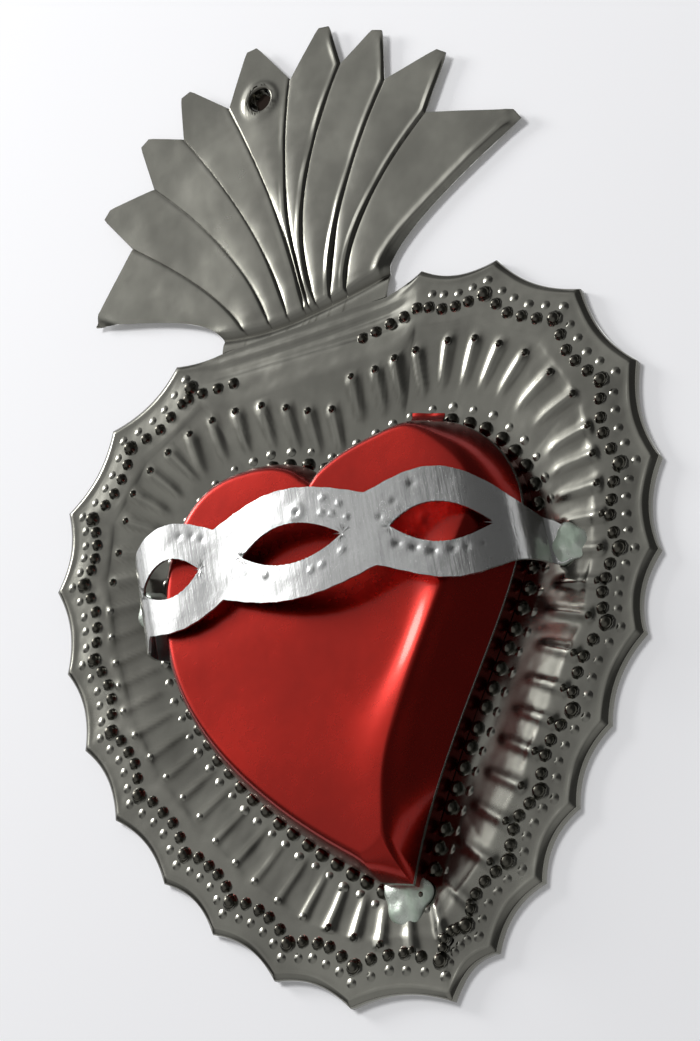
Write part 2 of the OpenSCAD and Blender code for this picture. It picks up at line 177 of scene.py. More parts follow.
def make_mesh(name, points, quads, fields=None, flip=False):
    """Mesh object from points in millimetres and quads, with a number a point for each named field. Points
    that meet are joined, and open borders are sharp."""
    points = np.asarray(points, float).reshape(-1, 3) * MM
    if flip:
        quads = quads[:, ::-1]
    mesh = bpy.data.meshes.new(name)
    mesh.vertices.add(len(points))
    mesh.vertices.foreach_set("co", points.ravel())
    mesh.loops.add(quads.size)
    mesh.loops.foreach_set("vertex_index", quads.ravel())
    mesh.polygons.add(len(quads))
    mesh.polygons.foreach_set("loop_start", np.arange(len(quads)) * 4)
    mesh.polygons.foreach_set("use_smooth", np.ones(len(quads), bool))
    mesh.update(calc_edges=True)
    for field, values in (fields or {}).items():
        mesh.attributes.new(field, "FLOAT", "POINT").data.foreach_set(
            "value", np.asarray(values, float).ravel())
    mesh.validate()
    work = bmesh.new()
    work.from_mesh(mesh)
    bmesh.ops.remove_doubles(work, verts=work.verts, dist=2e-6)
    bmesh.ops.dissolve_degenerate(work, edges=work.edges, dist=1e-7)
    work.to_mesh(mesh)
    work.free()
    of_loops = np.zeros(len(mesh.loops), int)
    mesh.loops.foreach_get("edge_index", of_loops)
    border = np.bincount(of_loops, minlength=len(mesh.edges)) == 1
    mesh.attributes.new("sharp_edge", "BOOLEAN", "EDGE").data.foreach_set("value", border)
    piece = bpy.data.objects.new(name, mesh)
    bpy.context.scene.collection.objects.link(piece)
    return piece


def thicken(piece, thickness, offset=-1):
    """Gives an open sheet its thickness: behind its face, or on both sides of it at offset 0."""
    wall = piece.modifiers.new("Thickness", "SOLIDIFY")
    wall.thickness = thickness
    wall.offset = offset
    wall.use_even_offset = False


def place(piece, material, slot, *nodes):
    """Material and body of a piece, and the nodes that it stands for, which it hides. The slot is not used."""
    piece.data.materials.append(material)
    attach(piece, "root")
    if nodes:
        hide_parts(*nodes)


# Plate plans

CUSPS = np.stack([CUSP_PLAN[:, 0], NECK_Z + CUSP_PLAN[:, 1] * SURROUND_SHARE], -1)
_around = np.vstack([CUSPS[:1], CUSPS, CUSPS[-1:]])
CUSP_INWARD = unit(left(_around[2:] - _around[:-2]))
BEND_FADE = (8.0, 6.0)
RIM_INSET, OVAL_INSET = 13, 27
OVAL = (22, 28)
RIM_RISE, CHANNEL_FALL = 0.27, 1.85  # As shares of the swell; the rim rises twice


def beside(i, t, inset, depth):
    """Point beside scallop i at share t of its length: the mix of its two points, moved inwards by the
    inset and by the scallop's own hollow, 4 depth t (1 - t), which fades out far from the edge."""
    i, t = np.asarray(i), np.asarray(t, float)[..., None]
    hollow = 4 * depth * t * (1 - t) * (1 - smooth((inset - BEND_FADE[0]) / BEND_FADE[1]))
    return lerp(CUSPS[i], CUSPS[i + 1], t) + lerp(CUSP_INWARD[i], CUSP_INWARD[i + 1], t) * (inset + hollow)


def heart_outline(per_curve):
    """Closed outline of the heart: its seven curves one after another, without their last points."""
    t = np.arange(per_curve) / per_curve
    return np.concatenate([bezier(curve, t) for curve in HEART_PLAN]) + HEART_MIDDLE


def evenly(line, spacing):
    """Points at an even spacing on a closed line, with the outward direction at each."""
    loop = np.vstack([line, line[:1]])
    walked = np.concatenate([[0], np.cumsum(np.linalg.norm(np.diff(loop, axis=0), axis=1))])
    count = int(walked[-1] // spacing)
    at = np.arange(count) * walked[-1] / count
    points = knots(walked, loop, at)
    ahead = knots(walked, loop, (at + 0.5) % walked[-1]) - knots(walked, loop, (at - 0.5) % walked[-1])
    return points, unit(left(ahead))


def flute_directions(starts):
    """Way in from each flute's outer end: the inward direction of the nearest point 12 mm inside the edge."""
    i = np.repeat(np.arange(len(CUSPS) - 1), 12)
    t = np.tile(np.arange(12) / 12, len(CUSPS) - 1)
    line = beside(i, t, 12.0, 0)
    inward = lerp(CUSP_INWARD[i], CUSP_INWARD[i + 1], t[:, None])
    across_x = np.linspace(26, -26, 16)
    line = np.vstack([line, np.stack([across_x, 0 * across_x - 67], -1)])
    inward = np.vstack([inward, np.stack([-across_x / 260, -1 + 0 * across_x], -1)])
    nearest = np.linalg.norm(starts[:, None] - line[None], axis=2).argmin(1)
    return unit(inward[nearest])


def room_to_heart(starts, ways, most):
    """Length of each flute: up to the most, ending clear of the heart's outline along its way."""
    line = heart_outline(24)
    away = line[None] - starts[:, None]
    ahead = (away * ways[:, None]).sum(2)
    aside = np.abs((away * left(ways)[:, None]).sum(2))
    free = np.where((aside < 2.5) & (ahead > 0), ahead, most + FLUTE_CLEAR).min(1) - FLUTE_CLEAR
    return np.minimum(most, free)


FLUTE_WAYS = flute_directions(FLUTE_STARTS)


def flute_faintness(start):
    """1 for the shallow flutes on the lower left, 0 for the full ones."""
    return smooth((-8 - start[..., 0]) / 20) * smooth((-90 - start[..., 1]) / 14)


def flute_relief(x, z, settings):
    """Height that the flutes add: along each one a quick rise at its outer end and a slow fall to its inner
    end, times a bell across it that narrows inwards. The tallest wins where two meet."""
    runs = room_to_heart(FLUTE_STARTS, FLUTE_WAYS, settings.flute_length / MM)
    relief = np.zeros_like(x)
    for start, way, run in zip(FLUTE_STARTS, FLUTE_WAYS, runs):
        along = ((x - start[0]) * way[0] + (z - start[1]) * way[1]) / run
        across = -(x - start[0]) * way[1] + (z - start[1]) * way[0]
        rise = smooth(along / 0.14 + 0.5) * smooth((1.15 - along) / 0.3) * (1 - 0.5 * np.clip(along, 0, 1))
        width = settings.flute_width / MM * (0.42 - 0.12 * np.clip(along, 0, 1))
        faint = flute_faintness(start)
        relief = np.maximum(relief, (1 - 0.65 * faint) * rise * bell(across / (width * (1 - 0.25 * faint))))
    return relief * settings.flute_height / MM


def surround_relief(plan, inset, settings):
    """Height of the surround: a bevelled edge with a lip inside it, a rim that rises slightly to the bead
    rows, a fall to the heart, the flutes, two folds below the neck and a light unevenness."""
    x, z = plan[..., 0], plan[..., 1]
    edge = 0.13 * bell((inset - 1.35) / 0.42) - 0.1 * bell(inset / 0.28)
    ridge = RIM_RISE * (smooth(inset / 0.9) + smooth((inset - 1) / 7))
    ridge = ridge - CHANNEL_FALL * smooth((inset - 10.5) / 11.5)
    near_neck = smooth((26 - np.abs(x - 1)) / 8) * smooth((z + 70) / 8)
    ridge = ridge * (1 - 0.55 * near_neck)
    second = -54.2 - 0.09 * (x + 16) - 0.9 * np.cos(x / 16)
    folds = near_neck * (0.18 * bell((z - second) / 0.8) - 0.3 * bell((z - second + 1.5) / 0.9)
                         - 0.3 * bell((z + 57.6 + 0.13 * (x + 17)) / 0.8))
    cusp = np.linalg.norm(plan[..., None, :] - CUSPS, axis=-1).min(-1)
    tucks = 0.3 * bell(cusp / 3.0)
    uneven = 0.1 * ripple(x, z, 17, 1) + 0.045 * ripple(x, z, 7, 4) + 0.02 * ripple(x, z, 3.1, 8)
    fade = smooth(inset / 2.5)
    return FRONT + edge * (1 - near_neck) + settings.swell / MM * ridge + flute_relief(x, z, settings) + (
        folds + tucks + uneven) * fade


def surround_grid(settings):
    """Plan, inset, height and wall strength of the surround. Rows run from the back of the edge to its
    front, inwards square to the edge, then as straight mixes towards an oval under the heart and on to its
    middle. Columns run along the scallops and back across the neck."""
    per, corner, wide = 28, 12, 44
    i = np.repeat(np.arange(len(CUSPS) - 1), per)
    t = np.tile(np.arange(per) / per, len(CUSPS) - 1)
    bend = np.arange(corner) / corner
    right = bezier([CUSPS[-1], lerp(CUSPS[-1], NECK_RIGHT, 0.5) - (0, 0.7), NECK_RIGHT], bend)
    left_side = bezier([NECK_LEFT, lerp(NECK_LEFT, CUSPS[0], 0.5) - (0, 1), CUSPS[0]], bend)
    across = np.arange(wide) / wide
    neck = np.vstack([right, lerp(NECK_RIGHT, NECK_LEFT, across[:, None]), left_side])
    down = np.array([(0.0, -1.0)])
    neck_way = unit(np.vstack([lerp(CUSP_INWARD[-1:], down, bend[:, None]), down.repeat(wide, 0),
                               lerp(down, CUSP_INWARD[:1], bend[:, None])]))
    insets = np.concatenate([[0, 0, 0, 0.12, 0.3, 0.6, 0.95, 1.3, 1.7, 2.1], np.linspace(2.6, RIM_INSET, 20)])
    rows = [np.vstack([beside(i, t, d, settings.scallop / MM), neck + neck_way * d]) for d in insets]
    rim = rows[-1]
    middle = HEART_MIDDLE + (0, 2)
    oval = middle + unit((rim - middle) / OVAL) * OVAL
    shares = np.linspace(0, 1, 29)[1:]
    rows += [lerp(rim, oval, w) for w in shares] + [lerp(oval, middle, w) for w in (0.5, 1)]
    plan = np.array(rows)
    inset = np.concatenate([insets, lerp(RIM_INSET, OVAL_INSET, shares), [30, 33]])[:, None] + 0 * plan[..., 0]
    open_neck = smooth(across * 12) * smooth((1 - across) * 12)
    wall = np.concatenate([np.ones(len(i) + corner), 1 - open_neck, np.ones(corner)])
    at_neck = np.concatenate([np.zeros(len(i)), smooth(bend), np.ones(wide), smooth(1 - bend)])
    height = surround_relief(plan, inset, settings)
    height = height - RIM_RISE * settings.swell / MM * at_neck * (smooth(inset / 0.9) - smooth(inset / 9))
    return plan, inset, height, wall


def fan(angle, reach):
    """Point at an angle from the upright and a reach from the neck's middle."""
    a = np.radians(angle)
    return np.array((reach * np.sin(a), NECK_Z + reach * np.cos(a)))


def half_tip(angle):
    """From the middle of a flame's clipped tip to its right-hand corner."""
    a = np.radians(angle)
    return FLAME_CLIP / 2 * np.array((np.cos(a), -np.sin(a)))


def groove_z(x):
    """Height up the plan of the groove across the neck: lowest in the middle, more raised on the left."""
    return -52.4 + np.where(x < 0, 2.6, 0.9) * (x / 17.1) ** 2


def crown_line(f, s):
    """Side line f of the flames, 0 to 9 from the left, at share s of its way up from the groove: a curve of
    three points. Below the groove, s from 0 to -0.08 runs on to the straight line across the neck."""
    if f in (0, 9):
        angle, reach = FLAMES[0 if f == 0 else 8]
        top = fan(angle, reach) + (-1 if f == 0 else 1) * half_tip(angle)
        foot, bend = ((-17.3, -50.2), (-18.6, -43)) if f == 0 else ((21.0, -51.8), (20.6, -44))
        foot = np.array(foot)
    else:
        angle, reach, bend, foot_x = CREASES[f - 1]
        top, foot = fan(angle, reach), np.array((foot_x, groove_z(foot_x)))
    share = (foot[0] + 17.3) / 38.3
    below = np.clip(-s / 0.08, 0, 1)[:, None] * (lerp(NECK_LEFT, NECK_RIGHT, share) - foot)
    return bezier([foot, bend, top], np.clip(s, 0, 1)) + below


def flame_top(f, t):
    """Top edge of flame f at share t across: up to the clipped tip's two corners and down again."""
    angle, reach = FLAMES[f]
    low, high = fan(angle, reach) - half_tip(angle), fan(angle, reach) + half_tip(angle)
    one = np.ones(1)
    begin, end = crown_line(f, one)[0], crown_line(f + 1, one)[0]
    if f == 0:
        return knots([0, 0.08, 1], [low, high, end], t)
    if f == 8:
        return knots([0, 0.92, 1], [begin, low, high], t)
    return knots([0, 0.44, 0.56, 1], [begin, low, high, end], t)


def distance(plan, line):
    """Distance of each point of the plan from the nearest point of a finely stepped line."""
    away = plan[..., None, :] - line
    return np.sqrt((away ** 2).sum(-1).min(-1))


def flame_relief(f, plan, t, s, settings):
    """Height and painted shade of flame f: an arch between its creases that grows towards the neck, a ridge
    just inside its right border with a drop outside it, a softer drop at its left border, and the groove across
    the neck. The tops of the right-hand flames have the drop on their right sides too. The last flame's is
    a broad slope. The painted shade makes the drops at both borders and the groove across the neck darker."""
    x, z = plan[..., 0], plan[..., 1]
    steps, half = np.linspace(-0.08, 1, 150), np.linspace(0, 1, 50)
    to_left = distance(plan, crown_line(f, steps)) if f else FAR + 0 * x
    border = crown_line(f + 1, steps)
    if f > 4:
        border = np.vstack([border, flame_top(f, 1 - half * (0.5 if f < 8 else 0.08))])
    to_right = distance(plan, border)
    up = smooth(s * 6)
    arch = 1 - np.abs(2 * t - 1) ** 2.2
    full = 0.55 if f < 4 else 0.8
    strength = settings.flame_relief / MM * full * lerp(1.0, 0.2, smooth(s * 1.25)) * up
    width = np.linalg.norm(plan[:, -1] - plan[:, 0], axis=-1)[:, None]
    tip = np.linalg.norm(plan - fan(*FLAMES[f]), axis=-1)
    fade = smooth(width / 4.5) * smooth((tip - 0.8) / 4)
    if f == 8:
        at = lerp(2.1, 1.0, smooth(s * 1.4))
        border_relief = 0.4 * smooth(to_right - at + 0.6) * np.clip(1 - (to_right - at - 0.3) / 1.6, 0, 1) * up
        border_relief = border_relief - 0.5 * np.clip(1 - to_right / at, 0, 1)
    else:
        keen = KEEN[f] * lerp(1.6, 0.55, smooth(s * 1.3)) * up * np.clip(1 + 1.1 * ripple(x, z, 15, f), 0.1, 2)
        border_relief = keen * smooth(to_right / 0.7) * np.clip(1 - (to_right - 0.6) / 1.1, 0, 1)
        border_relief = border_relief - (0.12 if f < 4 else 0.2) * bell(to_right / 0.34)
    border_relief = (border_relief - 0.03 * bell(to_left / 0.32)) * fade * smooth(s * 20)
    past = z - groove_z(x)
    groove = -0.5 * bell(past / 0.95) + 0.1 * bell((past - 1.9) / 0.9)
    height = FRONT + 0.05 * smooth((s + 0.08) / 0.08) + strength * arch + border_relief + groove
    height = height + 0.12 * ripple(x, z, 21, 2) * smooth(s * 2) + 0.03 * ripple(x, z, 7, 3)
    # Painted shade: darker along the drop at the right border and the groove across the neck, and less so at
    # the left border
    painted_dark = np.maximum(0.7 * bell(to_right / (0.3 if f < 8 else 0.1)), 0.7 * bell(past / 0.8))
    return height, np.maximum(painted_dark, 0.4 * bell(to_left / 0.35))


# Finishes

class Value:
    """A shader socket that can stand in arithmetic: each operator adds a Math node."""

    def __init__(self, tree, socket):
        self.tree, self.socket = tree, socket

    def math(self, operation, *others):
        node = self.tree.nodes.new("ShaderNodeMath")
        node.operation = operation
        for k, item in enumerate((self,) + others):
            put(self.tree, node.inputs[k], item)
        return Value(self.tree, node.outputs[0])

    def __add__(self, other):
        return self.math("ADD", other)

    def __mul__(self, other):
        return self.math("MULTIPLY", other)

    def __sub__(self, other):
        return self.math("SUBTRACT", other)

    def __rsub__(self, other):
        return (self * -1) + other

    def __pow__(self, other):
        return self.math("POWER", other)

    __radd__ = __add__
    __rmul__ = __mul__

    def clip(self):
        return self.math("MAXIMUM", 0).math("MINIMUM", 1)


def put(tree, socket, item):
    """Links a value to a socket, or sets the socket to it."""
    if isinstance(item, Value):
        tree.links.new(item.socket, socket)
    elif item is not None:
        if socket.type == "RGBA" and len(item) == 3:
            item = (*item, 1)
        socket.default_value = item


class Finish:
    """The nodes of a material or world under construction."""

    def __init__(self, owner):
        owner.use_nodes = True
        self.owner, self.tree = owner, owner.node_tree
        self.tree.nodes.clear()

    def node(self, kind, settings=None, inputs=None, output=0):
        """Adds a node of a type with its settings, then the values or links of its sockets."""
        node = self.tree.nodes.new("ShaderNode" + kind)
        for key, value in (settings or {}).items():
            setattr(node, key, value)
        for key, item in (inputs or {}).items():
            put(self.tree, node.inputs[key], item)
        return Value(self.tree, node.outputs[output]) if node.outputs else node

    def place(self):
        return self.node("TexCoord", output="Object")

    def field(self, name):
        return self.node("Attribute", {"attribute_name": name}, output="Fac")

    def ray(self, what):
        return self.node("LightPath", output=what)

    def toward(self, way, direction, low, high):
        """Ramp of the cosine between a way and a direction."""
        cosine = self.node("VectorMath", {"operation": "DOT_PRODUCT"}, {0: way, 1: direction}, "Value")
        return self.ramp(cosine, low, high)

    def noise(self, where, scale, detail=3, roughness=0.5, stretch=None):
        if stretch:
            where = self.node("Mapping", inputs={"Vector": where, "Scale": stretch})
        return self.node("TexNoise", inputs={
            "Vector": where, "Scale": scale, "Detail": detail, "Roughness": roughness}, output="Fac")

    def mix(self, factor, a, b):
        """Mix of two colours, by the sockets that a Mix node has for them."""
        return self.node("Mix", {"data_type": "RGBA"}, {0: factor, 6: a, 7: b}, 2)

    def ramp(self, value, low, high):
        """0 up to low, 1 from high on, and a smooth rise between."""
        return self.node("MapRange", {"interpolation_type": "SMOOTHSTEP"}, {
            "Value": value, "From Min": low, "From Max": high})

    def bump(self, height, strength, distance):
        return self.node("Bump", inputs={"Height": height, "Strength": strength, "Distance": distance})

    def surface(self, inputs):
        shader = self.node("BsdfPrincipled", inputs=inputs)
        self.node("OutputMaterial", inputs={"Surface": shader})
        return self.owner


def shade(colour, by):
    """A colour made darker or lighter."""
    return tuple(min(1, by * c) for c in colour)


def tin_finish(material, colour):
    """Darkened polished tin: cloudy tone, smudges and fine scratches, and a near-black brown tint that paints
    shade and black reflections.
    """
    f = Finish(material)
    where = f.place()
    clouds = f.noise(where, 45, 4, 0.6)
    fine = f.noise(where, 700, 3, 0.6)
    groove = f.field("groove")
    tone = f.mix(f.ramp(clouds, 0.35, 0.68), shade(colour, 0.82), shade(colour, 1.12))
    # Painted shade and painted reflection: near-black brown where the field is set, in creases, along the
    # flutes, in the hole's funnel and on the bead domes
    tone = f.mix(groove.clip() * 0.75, tone, (0.05, 0.046, 0.034))
    smudge = f.ramp(f.noise(where, 28, 5, 0.65), 0.42, 0.7)
    scratch = f.noise(where, 900, 2, 0.5, stretch=(1, 0.2, 0.12))
    rough = smudge * 0.12 + fine * 0.05 + 0.13
    bump = f.bump(f.noise(where, 160, 3, 0.5) + scratch * 0.06, 0.35, 0.00012)
    return f.surface({"Base Color": tone, "Metallic": 1.0, "Roughness": rough, "Normal": bump})


def lacquer_finish(material, colour):
    """Transparent red lacquer over tin: deeper where it lies thick, bare tin at the cut edge."""
    f = Finish(material)
    where = f.place()
    bare = f.ramp(f.field("bare"), 0.4, 0.6)
    clouds = f.noise(where, 38, 4, 0.55)
    specks = f.ramp(f.noise(where, 2600, 1, 0.4), 0.74, 0.8)
    tone = f.mix(f.ramp(clouds, 0.3, 0.7), shade(colour, 0.8), colour)
    tone = f.mix(specks * 0.2, tone, (0.45, 0.1, 0.08))
    tone = f.mix(bare, tone, (0.4, 0.4, 0.37))
    rough = clouds * 0.1 + f.noise(where, 500, 2, 0.5) * 0.06 + 0.19
    bump = f.bump(f.noise(where, 110, 3, 0.5), 0.25, 0.0002)
    return f.surface({"Base Color": tone, "Metallic": 1.0, "Roughness": rough, "Normal": bump,
                      "Coat Weight": (1 - bare) * 0.32, "Coat Roughness": 0.12, "Coat IOR": 1.5})


def bright_finish(material, colour):
    """Bright tin strip: fine lines across it, grey smudges, specks, and painted shade in and round its stamped
    dents.
    """
    f = Finish(material)
    where = f.place()
    lines = f.noise(where, 1100, 3, 0.6, stretch=(1, 0.5, 0.07))
    smudge = f.ramp(f.noise(where, 120, 4, 0.6), 0.48, 0.72)
    speck = f.ramp(f.noise(where, 1900, 2, 0.5), 0.62, 0.72)
    dent = f.field("dent")
    tone = f.mix(smudge * 0.4, colour, shade(colour, 0.8))
    tone = f.mix(speck * 0.3, tone, (0.35, 0.35, 0.33))
    # Painted shade: darker in the stamped dents and round the raised bumps
    tone = f.mix(dent.clip() * 0.6, tone, (0.2, 0.2, 0.19))
    rough = lines * 0.12 + smudge * 0.06 + 0.15
    bump = f.bump(lines + f.noise(where, 2500, 2, 0.5) * 0.3 + f.noise(where, 150, 2, 0.5) * 3, 0.6, 0.0001)
    return f.surface({"Base Color": tone, "Metallic": 0.92, "Roughness": rough, "Normal": bump})


def solder_finish(material, colour):
    """Satin solder with a pale green bloom and a crinkled skin."""
    f = Finish(material)
    where = f.place()
    bloom = f.ramp(f.noise(where, 260, 4, 0.6), 0.4, 0.65)
    tone = f.mix(bloom, colour, (0.42, 0.5, 0.41))
    bump = f.bump(f.noise(where, 420, 4, 0.6), 0.6, 0.0003)
    return f.surface({"Base Color": tone, "Metallic": 0.6, "Roughness": bloom * 0.2 + 0.26, "Normal": bump})


def wall_finish(material, colour, glow):
    """Pale matt surface that keeps shadows, with painted shade, a near-black disc, behind the hanging hole. Its
    glow shows only to the camera and in reflections. It vanishes from behind and for light, so that the back
    can be seen and lit."""
    f = Finish(material)
    where = f.place()
    tone = f.mix(f.noise(where, 6, 3, 0.5) * 0.04, colour, (0.8, 0.8, 0.82))
    off_hole = f.node("VectorMath", {"operation": "LENGTH"}, {0: where}, "Value")
    # Painted shade: the wall within about 4 mm of the hanging hole turns near black, where the sheet shades it
    tone = f.mix(f.ramp(off_hole, 0.0034, 0.004), (0.03, 0.022, 0.018), tone)
    seen = f.ray("Is Camera Ray") + f.ray("Is Glossy Ray")
    matt = f.node("BsdfDiffuse", inputs={"Color": tone})
    shine = f.node("Emission", inputs={"Color": tone, "Strength": seen.clip() * glow})
    shader = f.node("AddShader", inputs={0: matt, 1: shine})
    behind = f.node("NewGeometry", output="Backfacing")
    clear = behind + f.ray("Is Shadow Ray") + f.ray("Ray Length").math("LESS_THAN", 0.004)
    shader = f.node("MixShader", inputs={0: clear.clip(), 1: shader, 2: f.node("BsdfTransparent")})
    f.node("OutputMaterial", inputs={"Surface": shader})
    return f.owner


def finish(name, maker, *values):
    """The finish of that name, made once."""
    return bpy.data.materials.get(name) or maker(bpy.data.materials.new(name), *values)


# Settings

class TinPlateSettings(PropertyGroup):
    sheet: FloatProperty(name="Sheet", description="Thickness of the tin", default=0.0004, unit="LENGTH")
    rim_depth: FloatProperty(name="Rim", description="How far the edge rolls back", default=0.0012,
                             unit="LENGTH")
    swell: FloatProperty(name="Swell", description="Height under the beads", default=0.0013, unit="LENGTH")
    scallop: FloatProperty(name="Scallop", description="Depth of a scallop", default=0.0019, unit="LENGTH")
    flame_relief: FloatProperty(name="Flames", description="Arch of a flame", default=0.0006, unit="LENGTH")
    flute_length: FloatProperty(name="Flute length", description="Longest flute", default=0.009,
                                unit="LENGTH")
    flute_width: FloatProperty(name="Flute width", description="Width of a flute", default=0.0029,
                               unit="LENGTH")
    flute_height: FloatProperty(name="Flute height", description="Height of a flute", default=0.0006,
                                unit="LENGTH")
    hole: FloatProperty(name="Hole", description="Diameter of the hanging hole", default=0.005, unit="LENGTH")
    colour: FloatVectorProperty(name="Tin", description="Colour of the tin", default=TIN, subtype="COLOR")


class BeadSettings(PropertyGroup):
    large: FloatProperty(name="Large", description="Diameter of a large bead", default=0.002, unit="LENGTH")
    small: FloatProperty(name="Small", description="Diameter of a small bead", default=0.0015, unit="LENGTH")
    inset: FloatProperty(name="Inset", description="Large beads from the edge", default=0.0072, unit="LENGTH")
    small_inset: FloatProperty(name="Small inset", description="Small beads from the edge", default=0.0044,
                               unit="LENGTH")
    per_scallop: IntProperty(name="A scallop", description="Large beads in a scallop", default=5, min=1)
    pitch: FloatProperty(name="Pitch", description="Beads round the heart", default=0.0038, unit="LENGTH")


class HeartSettings(PropertyGroup):
    rise: FloatProperty(name="Crest", description="Height of the crest", default=0.0125, unit="LENGTH")
    edge: FloatProperty(name="Edge", description="Height of the upright edge", default=0.0026, unit="LENGTH")
    colour: FloatVectorProperty(name="Lacquer", description="Colour of the lacquer", default=LACQUER,
                                subtype="COLOR")


class StripSettings(PropertyGroup):
    rise: FloatProperty(name="Rise", description="Height of its middle", default=0.0155, unit="LENGTH")
    thickness: FloatProperty(name="Thickness", description="Thickness", default=0.0005, unit="LENGTH")
    eye_length: FloatProperty(name="Eye length", description="Middle opening", default=0.0245, unit="LENGTH")
    eye_height: FloatProperty(name="Eye height", description="Height of an opening", default=0.008,
                              unit="LENGTH")
    colour: FloatVectorProperty(name="Strip", description="Colour of the strip", default=BRIGHT,
                                subtype="COLOR")


class StageSettings(PropertyGroup):
    wall: FloatVectorProperty(name="Wall", description="Colour of the wall", default=(0.9, 0.9, 0.915),
                              subtype="COLOR")
    glow: FloatProperty(name="Glow", description="Glow of the wall to the camera", default=0.1, min=0)
    key: FloatProperty(name="Key light", description="Power of the key light", default=3.8, min=0,
                       subtype="POWER")
    wash: FloatProperty(name="Wash light", description="Power of the light on what isn't metal", default=3.9,
                        min=0, subtype="POWER")
    back: FloatProperty(name="Back light", description="Power of the light behind the wall", default=1.2,
                        min=0, subtype="POWER")
    around: FloatProperty(name="Surroundings", description="Light from all round", default=0.26, min=0)


# Pieces

class TINHEART_OT_plate(Operator):
    """Surround, crown of flames and the collar round the hanging hole"""
    bl_idname = "tinheart.plate"
    bl_label = "Tin plate"

    def execute(self, context):
        settings = context.scene.tinheart_plate
        tin = finish("Darkened tin", tin_finish, settings.colour[:])
        place(self.surround(settings), tin, "tin", "tin_plate")
        place(self.crown(settings), tin, "tin")
        place(self.collar(settings), tin, "tin")
        return {"FINISHED"}

    def surround(self, settings):
        """The grid of the surround, whose first rows drop behind the sheet as the turned-back edge."""
        plan, inset, height, wall = surround_grid(settings)
        fall = np.zeros(len(plan))
        fall[:3] = np.array([1, 0.6, 0.18]) * (FRONT + settings.rim_depth / MM)
        height = height - fall[:, None] * wall
        flutes = flute_relief(plan[..., 0], plan[..., 1], settings) / (settings.flute_height / MM)
        # Painted shade: a darker band along the edges of the flutes in the channel, for the tin finish
        groove = bell((flutes - 0.14) / 0.1) * 0.35 * (inset > 8)
        points = stand(plan, height)
        piece = make_mesh("surround", points, grid_faces(*plan.shape[:2], wrap=True), {"groove": groove})
        thicken(piece, settings.sheet)
        return piece

    def crown(self, settings):
        """Each flame is a mix of its two side lines by t, with its top edge's surplus added as s cubed.
        Faces in the hanging hole are left out."""
        s = np.concatenate([np.linspace(-0.08, 0, 7)[:-1], 1 - np.linspace(1, 0, 112) ** 1.15])
        t = np.linspace(0, 1, 27)
        t = lerp(t, 0.5 - 0.5 * np.cos(np.pi * t), 0.7)
        flames, heights, painted_shades = [], [], []
        for f in range(9):
            a, b = crown_line(f, s)[:, None], crown_line(f + 1, s)[:, None]
            surplus = flame_top(f, t) - lerp(a[-1], b[-1], t[:, None])
            plan = lerp(a, b, t[None, :, None]) + np.clip(s, 0, 1)[:, None, None] ** 3 * surplus
            tt, ss = np.broadcast_to(t, plan.shape[:2]), np.broadcast_to(s[:, None], plan.shape[:2])
            # Each flame's painted shade goes to the tin finish
            height, groove = flame_relief(f, plan, tt, ss, settings)
            flames.append(plan)
            heights.append(height)
            painted_shades.append(groove)
        plan, height, groove = (np.concatenate(parts, 1) for parts in (flames, heights, painted_shades))
        rows, columns = plan.shape[:2]
        collar = np.hypot(plan[..., 0], plan[..., 1])
        height = height + 0.35 * bell((collar - 3.4) / 0.9)
        quads = grid_faces(rows, columns)
        quads = quads[collar.ravel()[quads].mean(1) > settings.hole / MM / 2 + 0.7]
        piece = make_mesh("crown", stand(plan, height), quads, {"groove": groove})
        thicken(piece, settings.sheet)
        return piece

    def collar(self, settings):
        """Punched hole: a profile from the sheet over a low lip into a funnel that narrows towards its torn
        back edge, turned once. The edge's radius wavers by a sine."""
        bore = settings.hole / MM / 2
        radius = bore + np.array([1.6, 1.1, 0.7, 0.4, 0.15, 0, -0.06, -0.2, -0.42, -0.62])
        height = np.array([0.45, 0.62, 0.74, 0.78, 0.72, 0.52, 0.2, -0.2, -0.6, -1.0])
        angle, way = circle(48)
        torn = 1 + np.clip(-height, 0, 1)[:, None] * 0.12 * np.sin(5 * angle + 1)
        plan = radius[:, None, None] * torn[..., None] * way
        # Painted shade: the lip and the funnel turn near black inwards, the most inside the hole
        groove = np.array([0, 0.2, 0.3, 0.5, 0.9, 1.2, 1.3, 1.3, 1.3, 1.3])[:, None] + 0 * plan[..., 0]
        piece = make_mesh("hole_collar", stand(plan, height[:, None]), grid_faces(*plan.shape[:2], wrap=True),
                          {"groove": groove})
        thicken(piece, 0.0002)
        return piece


